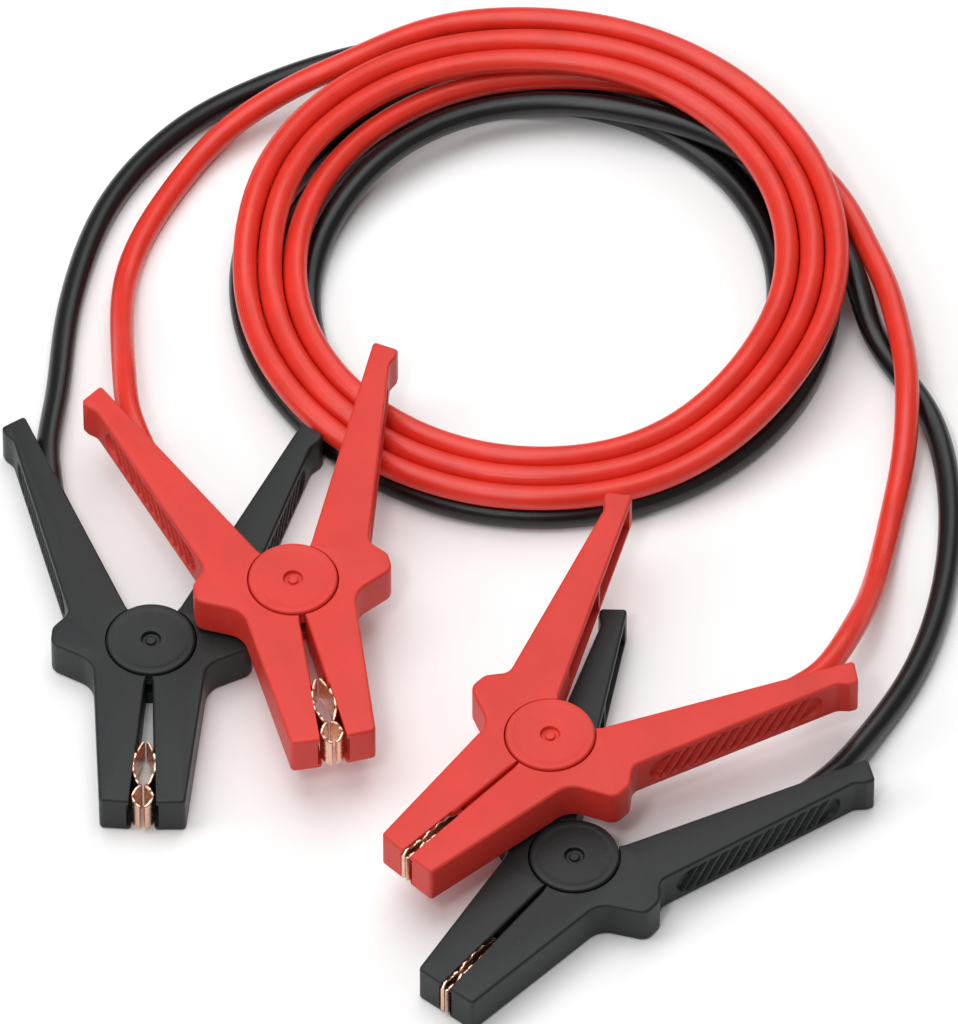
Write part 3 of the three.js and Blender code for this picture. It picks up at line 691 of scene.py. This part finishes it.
def half_grid(holds_cable, sizes):
    """The half as rings up its height. Each ring is the plan's edge, drawn in along its normal by
    the rim's rounding, r(1 - cos a) at height r(1 - sin a), and pushed in where the face is cut."""
    edge = half_outline()
    count = len(edge)
    tangent = np.roll(edge, -1, 0) - np.roll(edge, 1, 0)
    tangent /= np.linalg.norm(tangent, axis=1)[:, None]
    inward = np.stack([-tangent[:, 1], tangent[:, 0]], 1)
    to_hub = np.abs(np.hypot(edge[:, 0], edge[:, 1]) - RECESS_RADIUS)
    radius = sizes.edge_radius * smooth(to_hub, -0.5, 3.0) * 0.85 + 0.15 * sizes.edge_radius
    angles = np.radians([90, 72, 54, 36, 18, 0])
    # The rings lie closer just below and above each step of the pocket, the hollow and the channel.
    heights = np.concatenate([
        [1.4, 2.15, 2.25, 2.48, 2.52, 3.0, 3.35, 3.45], np.arange(3.8, 13.3, 0.42),
        [13.55, 13.65, 14.0, 14.48, 14.52, 14.75, 14.85, 15.6]])
    rim_in = radius[None, :] * (1 - np.cos(angles))[:, None]
    rim_up = radius[None, :] * (1 - np.sin(angles))[:, None]
    drawn = np.concatenate([rim_in, np.zeros((len(heights), count)), rim_in[::-1]])
    z = np.concatenate([rim_up, np.repeat(heights[:, None], count, 1), THICKNESS - rim_up[::-1]])
    x = edge[None, :, 0] + inward[None, :, 0] * drawn
    y = edge[None, :, 1] + inward[None, :, 1] * drawn

    # The grip, on the outer face of the handle.
    along, across = from_handle(x, y)
    outer = np.abs(across - handle_width(along)) < 0.6
    outer &= (along > GRIP_START - 2) & (along < GRIP_END + 3) & (drawn == 0)
    depth = np.where(outer, grip_depth(along, z, sizes), 0)
    x, y = x + inward[None, :, 0] * depth, y + inward[None, :, 1] * depth

    # The hollow handle, open along the inner edge.
    low, high = (CHANNEL_BOTTOM, CHANNEL_TOP) if holds_cable else (WALL, THICKNESS - WALL)
    along, across = from_handle(x, y)
    inner = (np.abs(across) < 1.5) & (along > 20) & (along < HANDLE_LENGTH - 1.6)
    inner &= (z > low) & (z < high)
    across = np.where(inner, np.maximum(across, channel_depth(along, holds_cable)), across)
    hx, hy = on_handle(along, across)
    x, y = np.where(inner, hx, x), np.where(inner, hy, y)

    # The contact's pocket in the jaw, open at the front, and at the top towards the tip.
    face = slit_face(y) + POCKET_DEPTH
    roof = np.where(y < -JAW_LENGTH + OPEN_POCKET, THICKNESS + 1, POCKET_TOP)
    pocket = (y < -JAW_LENGTH + POCKET_LENGTH) & (z > POCKET_BOTTOM) & (z < roof) & (x < face)
    x = np.where(pocket, np.where(z > POCKET_TOP, np.maximum(x, face - LIP_DEPTH), face), x)
    return np.stack([x, y, z], -1)


def ear(bottom, top):
    """A flat ring round the pin. Its radius grows into the half's own body, between two angles."""
    angle = np.linspace(0, 2 * math.pi, 144, endpoint=False)
    degrees = (np.degrees(angle) + 180) % 360 - 180
    own = smooth(degrees, -86, -82) * (1 - smooth(degrees, 48, 52))
    outer = EAR_RADIUS + (RECESS_RADIUS + 0.4 - EAR_RADIUS) * own
    bore, bevel = PIN_RADIUS + GAP + 0 * outer, 0.2
    radius = np.stack([bore, outer - bevel, outer, outer, outer - bevel, bore])
    height = np.array([bottom, bottom, bottom + bevel, top - bevel, top, top])[:, None] + 0 * radius
    points = np.stack([radius * np.cos(angle), radius * np.sin(angle), height], -1)
    return points.reshape(-1, 3), grid_faces(len(radius), len(angle), close_rows=True)


def ear_levels(holds_cable):
    """Bottom and top of a half's two ears. Those of the squeeze half lie between the other's."""
    outer = CAP_THICKNESS + GAP
    bottom = outer if holds_cable else outer + EAR_THICKNESS + GAP
    return [(bottom, bottom + EAR_THICKNESS), (THICKNESS - bottom - EAR_THICKNESS, THICKNESS - bottom)]


def body_of_half(clamp, piece):
    """The cable's side of a clamp stays with the leads, and the other side moves as its grip."""
    return "leads" if piece.startswith("cable") else f"{clamp}_grip"


class LEADS_OT_halves(bpy.types.Operator):
    """Adds a clamp's two moulded halves: a rounded slab with its grip, hollow handle, pocket and ears"""
    bl_idname = "jumper_leads.halves"
    bl_label = "Add clamp halves"
    clamp: bpy.props.StringProperty(name="Clamp", description="Which clamp", default="red_left")

    def execute(self, context):
        material = nylon_of(self.clamp, context.scene)
        colour, cable_side = CLAMPS[self.clamp].colour, CLAMPS[self.clamp].cable_side
        for part, holds_cable in (("cable_half", True), ("squeeze_half", False)):
            side = cable_side if holds_cable else -cable_side
            slab = closed_grid(half_grid(holds_cable, context.scene.jumper_lead_sizes))
            shape = joined(slab, *[ear(bottom, top) for bottom, top in ear_levels(holds_cable)])
            add_piece(f"{self.clamp}_{part}_moulding", placed(shape, self.clamp, side), material,
                      body_of_half(self.clamp, part), [f"{self.clamp}_{part}"])
        return {"FINISHED"}


def cap_profile():
    """Radius and height up the cap: its pin, its underside, rounded rim, dished top and dimple."""
    underside = THICKNESS - CAP_THICKNESS
    return [
        (0.6, 1.4), (PIN_RADIUS - 0.3, 1.4), (PIN_RADIUS, 1.7), (PIN_RADIUS, underside - 0.4),
        (PIN_RADIUS + 0.4, underside),
        (CAP_RADIUS - 0.3, underside), (CAP_RADIUS, underside + 0.3),
        *arc((CAP_RADIUS - 1.0, CAP_TOP - 1.0), 1.0, 0, 90, 9),
        (CAP_RADIUS - 2.0, CAP_TOP), (CAP_RADIUS - 2.6, CAP_TOP - 0.05),
        (CAP_RADIUS - 3.0, CAP_TOP - 0.16),
        (CAP_RADIUS - 4.2, CAP_TOP - 0.2), (8.0, CAP_TOP - 0.2), (4.6, CAP_TOP - 0.2),
        *arc((3.9, CAP_TOP - 0.6), 0.4, 80, 180, 6),
        (3.4, CAP_TOP - 1.9), (3.2, CAP_TOP - 2.1), (2.1, CAP_TOP - 2.1), (1.9, CAP_TOP - 2.0),
        (1.8, CAP_TOP - 1.5), *arc((1.4, CAP_TOP - 1.4), 0.4, 10, 90, 5), (0.9, CAP_TOP - 1.0),
        (0.5, CAP_TOP - 1.05),
    ]


def base_profile():
    """Radius and height up the underside's cap, with the socket for the pin."""
    return [
        (0.6, 0.0), (8, 0.0), (CAP_RADIUS - 0.6, 0.0), *arc((CAP_RADIUS - 0.6, 0.6), 0.6, -75, 0, 6),
        (CAP_RADIUS, CAP_THICKNESS - 0.2), (CAP_RADIUS - 0.2, CAP_THICKNESS),
        (PIN_RADIUS + GAP + 0.2, CAP_THICKNESS), (PIN_RADIUS + GAP, CAP_THICKNESS - 0.2),
        (PIN_RADIUS + GAP, 1.1), (0.6, 1.1),
    ]


class LEADS_OT_caps(bpy.types.Operator):
    """Adds a clamp's two turned caps: the top one with its pin and dimple, and the base"""
    bl_idname = "jumper_leads.caps"
    bl_label = "Add pivot caps"
    clamp: bpy.props.StringProperty(name="Clamp", description="Which clamp", default="red_left")

    def execute(self, context):
        material, slot = nylon_of(self.clamp, context.scene), f"{CLAMPS[self.clamp].colour}_plastic"
        for part, profile in (("pivot_cap", cap_profile()), ("pivot_base", base_profile())):
            shape = placed(closed_grid(turned(profile)), self.clamp, 1, opened=False)
            add_piece(f"{self.clamp}_{part}_moulding", shape, material, "leads",
                      [f"{self.clamp}_{part}"], sharp=50)
        return {"FINISHED"}


def contact_grid(opening):
    """A bowed strip on edge: x runs between the slit and the pocket's floor by the sine of the
    distance along it, once for the long eye and once for the short one, and y runs down the jaw."""
    share = np.linspace(0, 1, 90)
    y = -JAW_LENGTH + CONTACT_LENGTH - share * (CONTACT_LENGTH + CONTACT_OVERHANG)
    floor = slit_face(y) + POCKET_DEPTH - y * math.sin(math.radians(opening))
    long_eye, fullness = 0.7, 0.8
    in_long = np.minimum(share / long_eye, 1)
    in_short = ((share - long_eye) / (1 - long_eye)).clip(0, 1)
    bow = np.where(share < long_eye, np.sin(np.pi * in_long).clip(0) ** fullness,
                   0.75 * np.sin(np.pi * in_short).clip(0) ** fullness)
    inner = GAP / 2 + CONTACT_THICKNESS / 2
    x = inner + (floor - GAP - CONTACT_THICKNESS / 2 - inner) * bow
    path = np.stack([x, y], 1)
    along = np.gradient(path, axis=0)
    along /= np.linalg.norm(along, axis=1)[:, None]
    out = np.stack([along[:, 1], -along[:, 0]], 1)
    half, reach, bend = CONTACT_THICKNESS / 2, (THICKNESS - 2 * WALL) / 2, 0.3
    section = [
        (half, -reach + bend), (half, reach - bend), (half - bend, reach), (-half + bend, reach),
        (-half, reach - bend), (-half, -reach + bend), (-half + bend, -reach), (half - bend, -reach),
    ]
    # The upper edge rises by 1 mm and is cut into low teeth, 5.5 mm apart, but for its back end.
    tooth_height, teeth_along = 0.8, 5.5
    teeth = tooth_height * smooth(np.abs((share * teeth_along) % 1 - 0.5), 0.1, 0.4)
    edge = smooth(share, 0.15, 0.25) + teeth * smooth(share, 0.12, 0.2)
    rings = []
    for across, up in section:
        ring = path + out * across
        height = THICKNESS / 2 + up + (up > 0) * edge
        rings.append(np.stack([np.maximum(ring[:, 0], GAP / 2), ring[:, 1], height], 1))
    return np.stack(rings, 1)


class LEADS_OT_contacts(bpy.types.Operator):
    """Adds a clamp's two wavy contact strips"""
    bl_idname = "jumper_leads.contacts"
    bl_label = "Add contacts"
    clamp: bpy.props.StringProperty(name="Clamp", description="Which clamp", default="red_left")

    def execute(self, context):
        lie = CLAMPS[self.clamp]
        for part, side in (("cable_contact", lie.cable_side), ("squeeze_contact", -lie.cable_side)):
            shape = placed(closed_grid(contact_grid(lie.opening)), self.clamp, side, opened=False)
            add_piece(f"{self.clamp}_{part}_strip", shape, copper_plate(),
                      body_of_half(self.clamp, part), [f"{self.clamp}_{part}"])
        return {"FINISHED"}


def spring_path(opening):
    """A straight leg, a turn and a part round the pin at an even climb, and the other leg."""
    low = CAP_THICKNESS + 3 * GAP + 2 * EAR_THICKNESS + SPRING_WIRE / 2
    high = THICKNESS - low
    start = -(HANDLE_ANGLE - math.radians(opening))
    total = 2 * math.pi + math.pi + 2 * start
    share = np.linspace(0, 1, 120)
    angle = start - total * share
    coil = np.stack([SPRING_RADIUS * np.cos(angle), SPRING_RADIUS * np.sin(angle),
                     low + (high - low) * share], 1)
    out = np.linspace(SPRING_LEG, 0.5, 12)[:, None]

    def leg(at, sense, height, reach):
        foot = np.array([SPRING_RADIUS * math.cos(at), SPRING_RADIUS * math.sin(at), height])
        return foot + reach * np.array([-sense * math.sin(at), sense * math.cos(at), 0])

    legs = leg(start, 1, low, out), leg(start - total, -1, high, out[::-1])
    return np.concatenate([legs[0], coil, legs[1]]), low, high


class LEADS_OT_springs(bpy.types.Operator):
    """Adds a clamp's torsion spring, one leg on each half"""
    bl_idname = "jumper_leads.springs"
    bl_label = "Add springs"
    clamp: bpy.props.StringProperty(name="Clamp", description="Which clamp", default="red_left")

    def execute(self, context):
        _, pivot, _, opening, cable_side, level = CLAMPS[self.clamp]
        path, low, high = spring_path(opening)
        tube = closed_grid(tube_grid(path, SPRING_WIRE / 2, 12))
        shape = placed(tube, self.clamp, cable_side, opened=False)
        piece = add_piece(f"{self.clamp}_spring_wire", shape, spring_wire_steel(), None,
                          [f"{self.clamp}_spring"])
        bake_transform(piece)
        return {"FINISHED"}


# Stage

IMAGE_HEIGHT = 1024
MILLIMETRES_PER_PIXEL = 0.367
ELEVATION = math.radians(51.4)
LENS = 600.0
SENSOR = 36.0
LOOKED_AT = (16.15, 93.0, 0.0)

# Each lamp's place in metres, its size in metres and its power in watts
LAMPS_POINT_AT = (0.03, 0.08, 0.0)
LAMPS = {
    "softbox_above": ((-0.25, 0.25, 1.6), 1.5, 19.0),
    "softbox_left": ((-1.3, -0.2, 1.0), 0.8, 5.0),
    "lamp_streak": ((-0.3, -0.9, 1.5), 0.22, 4.5),
    "softbox_back": ((0.5, 1.4, 1.3), 1.0, 6.0),
}
WORLD_STRENGTH = 0.28
FLOOR_HALF = 4.0  # metres


def add_camera():
    """A long lens in the photograph's view: 51.4 degrees above the floor, from the jaws' side."""
    distance = IMAGE_HEIGHT * MILLIMETRES_PER_PIXEL / 1000 * LENS / SENSOR
    target = np.array(LOOKED_AT) / 1000
    camera = bpy.data.objects.new("camera", bpy.data.cameras.new("camera"))
    camera.data.lens = LENS
    camera.data.sensor_width = SENSOR
    camera.data.clip_end = 100
    camera.location = target + distance * np.array([0, -math.cos(ELEVATION), math.sin(ELEVATION)])
    camera.rotation_euler = (math.pi / 2 - ELEVATION, 0, 0)
    bpy.context.scene.collection.objects.link(camera)
    bpy.context.scene.camera = camera


def add_softbox(name, location, size, power):
    """A square area lamp turned to the middle of the leads."""
    lamp = bpy.data.lights.new(name, "AREA")
    lamp.size = size
    lamp.energy = power
    holder = bpy.data.objects.new(name, lamp)
    holder.location = location
    direction = Vector(LAMPS_POINT_AT) - Vector(location)
    holder.rotation_euler = direction.to_track_quat("-Z", "Y").to_euler()
    bpy.context.scene.collection.objects.link(holder)


class LEADS_OT_stage(bpy.types.Operator):
    """Adds the camera, the pale floor and the soft studio lights"""
    bl_idname = "jumper_leads.stage"
    bl_label = "Add stage"

    def execute(self, context):
        add_camera()
        grid = np.linspace(-FLOOR_HALF, FLOOR_HALF, 3)
        x, y = np.meshgrid(grid, grid)
        mesh = bpy.data.meshes.new("floor")
        mesh.from_pydata(np.stack([x, y, 0 * x], -1).reshape(-1, 3).tolist(), [],
                         [[a, a + 1, a + 4, a + 3] for a in (0, 1, 3, 4)])
        floor = bpy.data.objects.new("floor", mesh)
        context.scene.collection.objects.link(floor)
        mesh.materials.append(matt_paper("matt_white_paper", context.scene.jumper_lead_colours.floor))

        for name, (location, size, power) in LAMPS.items():
            add_softbox(name, location, size, power)
        world = bpy.data.worlds.new("studio")
        context.scene.world = world
        world.use_nodes = True
        background = world.node_tree.nodes["Background"]
        background.inputs["Color"].default_value = (1, 1, 1, 1)
        background.inputs["Strength"].default_value = WORLD_STRENGTH
        context.scene.view_settings.view_transform = "Standard"
        return {"FINISHED"}


class LEADS_PT_panel(bpy.types.Panel):
    """The leads' sizes, colours and pieces in the 3D view's sidebar"""
    bl_idname = "LEADS_PT_panel"
    bl_label = "Jumper leads"
    bl_space_type = "VIEW_3D"
    bl_region_type = "UI"
    bl_category = "Jumper leads"

    def draw(self, context):
        for group in (context.scene.jumper_lead_sizes, context.scene.jumper_lead_colours):
            box = self.layout.box()
            for name in group.__annotations__:
                box.prop(group, name)
        for operator in OPERATORS:
            self.layout.operator(operator.bl_idname)


OPERATORS = (LEADS_OT_stage, LEADS_OT_cable, LEADS_OT_halves, LEADS_OT_caps, LEADS_OT_contacts,
             LEADS_OT_springs)
CLASSES = (JumperLeadSizes, JumperLeadColours, *OPERATORS, LEADS_PT_panel)


def register():
    for cls in CLASSES:
        bpy.utils.register_class(cls)
    bpy.types.Scene.jumper_lead_sizes = bpy.props.PointerProperty(type=JumperLeadSizes)
    bpy.types.Scene.jumper_lead_colours = bpy.props.PointerProperty(type=JumperLeadColours)


def unregister():
    del bpy.types.Scene.jumper_lead_sizes
    del bpy.types.Scene.jumper_lead_colours
    for cls in reversed(CLASSES):
        bpy.utils.unregister_class(cls)


def main():
    register()
    bpy.ops.jumper_leads.stage()
    for colour in ("red", "black"):
        bpy.ops.jumper_leads.cable(colour=colour)
    for clamp in CLAMPS:
        bpy.ops.jumper_leads.halves(clamp=clamp)
        bpy.ops.jumper_leads.caps(clamp=clamp)
        bpy.ops.jumper_leads.contacts(clamp=clamp)
        bpy.ops.jumper_leads.springs(clamp=clamp)


if __name__ == "__main__":
    main()
